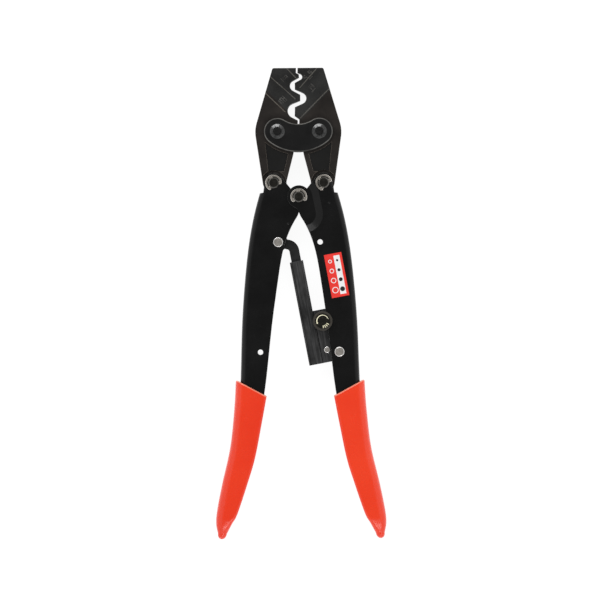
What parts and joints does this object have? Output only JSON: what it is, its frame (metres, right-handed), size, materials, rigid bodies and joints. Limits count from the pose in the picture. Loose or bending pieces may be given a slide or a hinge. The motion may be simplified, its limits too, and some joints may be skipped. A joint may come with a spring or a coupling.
{
  "type": "ratcheting lug crimping tool",
  "caption": "Long-handled compound-lever crimper for cable lugs, with staggered nests in hinged jaws, a sliding ratchet bar, a turning release knob and red grips.",
  "frame": {"origin": "centre of the bounding box seen from above, on the plane the tool rests on when it lies on its back", "axes": "+Y from the grips to the jaws, +Z out of the front face, +X to the right when the front is seen with the jaws up"},
  "size_m": [0.1266, 0.35, 0.0235],
  "materials": {
    "black_jaw_steel": "black phosphated forging, ground faces",
    "black_plate_steel": "black painted plate",
    "black_handle_paint": "black paint over pressed steel",
    "pivot_steel": "blackened and ground pin steel",
    "clip_nickel": "bright plated spring steel",
    "rivet_nickel": "bright plated rivet steel",
    "bare_steel": "oiled bare steel",
    "housing_black": "black zinc plated sheet",
    "red_vinyl": "glossy soft PVC",
    "knob_black": "black nylon",
    "label_print": "printed film"
  },
  "bodies": {
    "head": {"front_link_plate": "black_plate_steel", "rear_link_plate": "black_plate_steel", "left_jaw_pivot": "pivot_steel", "right_jaw_pivot": "pivot_steel", "left_pivot_ring": "pivot_steel", "right_pivot_ring": "pivot_steel"},
    "left_jaw": {"left_jaw": "black_jaw_steel"},
    "right_jaw": {"right_jaw": "black_jaw_steel"},
    "left_handle": {"left_handle": "black_handle_paint", "left_grip": "red_vinyl", "left_outer_pin": "bare_steel", "left_outer_clip": "clip_nickel", "rack_rivet": "rivet_nickel", "rack_front_spacer": "bare_steel", "rack_rear_spacer": "bare_steel"},
    "right_handle": {"right_handle": "black_handle_paint", "right_grip": "red_vinyl", "right_outer_pin": "bare_steel", "right_outer_clip": "clip_nickel", "centre_pin": "bare_steel", "centre_clip": "clip_nickel", "centre_spacer": "bare_steel", "housing_rivet": "rivet_nickel", "housing_front_spacer": "bare_steel", "housing_rear_spacer": "bare_steel", "size_label": "label_print"},
    "ratchet_housing": {"ratchet_housing": "housing_black", "spring_rivet": "rivet_nickel", "pawl_spring": "bare_steel"},
    "rack": {"rack": "pivot_steel"},
    "release_knob": {"pawl": "bare_steel", "knob_shaft": "bare_steel", "release_knob": "knob_black"}
  },
  "joints": [
    {"name": "left_jaw_hinge", "type": "hinge", "parent": "head", "child": "left_jaw", "pos_m": [-0.0156, 0.1279, 0.0113], "axis": [0, 0, 1], "range_deg": [-0.62, 8]},
    {"name": "right_jaw_hinge", "type": "hinge", "parent": "head", "child": "right_jaw", "pos_m": [0.0156, 0.1279, 0.0113], "axis": [0, 0, 1], "range_deg": [-8, 0.62]},
    {"name": "left_handle_hinge", "type": "hinge", "parent": "left_jaw", "child": "left_handle", "pos_m": [-0.01865, 0.0898, 0.0113], "axis": [0, 0, 1], "range_deg": [-29.07, 2.24]},
    {"name": "right_handle_hinge", "type": "hinge", "parent": "right_jaw", "child": "right_handle", "pos_m": [0.01865, 0.0898, 0.0113], "axis": [0, 0, 1], "range_deg": [-2.24, 29.07]},
    {"name": "housing_hinge", "type": "hinge", "parent": "right_handle", "child": "ratchet_housing", "pos_m": [0.02935, -0.036, 0.0113], "axis": [0, 0, 1], "range_deg": [-0.62, 8.1]},
    {"name": "rack_slide", "type": "slide", "parent": "ratchet_housing", "child": "rack", "axis": [-0.1805, 0.9836, 0], "range_m": [-0.00201, 0.02589]},
    {"name": "release_knob_hinge", "type": "hinge", "parent": "ratchet_housing", "child": "release_knob", "pos_m": [0.017, -0.0131, 0.0113], "axis": [0, 0, 1], "range_deg": [-3, 25], "stiffness_Nm_per_rad": 0.05, "deforming": ["pawl_spring"]}
  ],
  "couplings": [
    {"joint": "right_jaw_hinge", "follows": "left_jaw_hinge", "ratio": -1},
    {"joint": "left_handle_hinge", "follows": "left_jaw_hinge", "ratio": -3.634},
    {"joint": "right_handle_hinge", "follows": "left_jaw_hinge", "ratio": 3.634},
    {"joint": "housing_hinge", "follows": "left_jaw_hinge", "ratio": 1.012},
    {"joint": "rack_slide", "follows": "left_jaw_hinge", "m_per_rad": 0.18528}
  ]
}
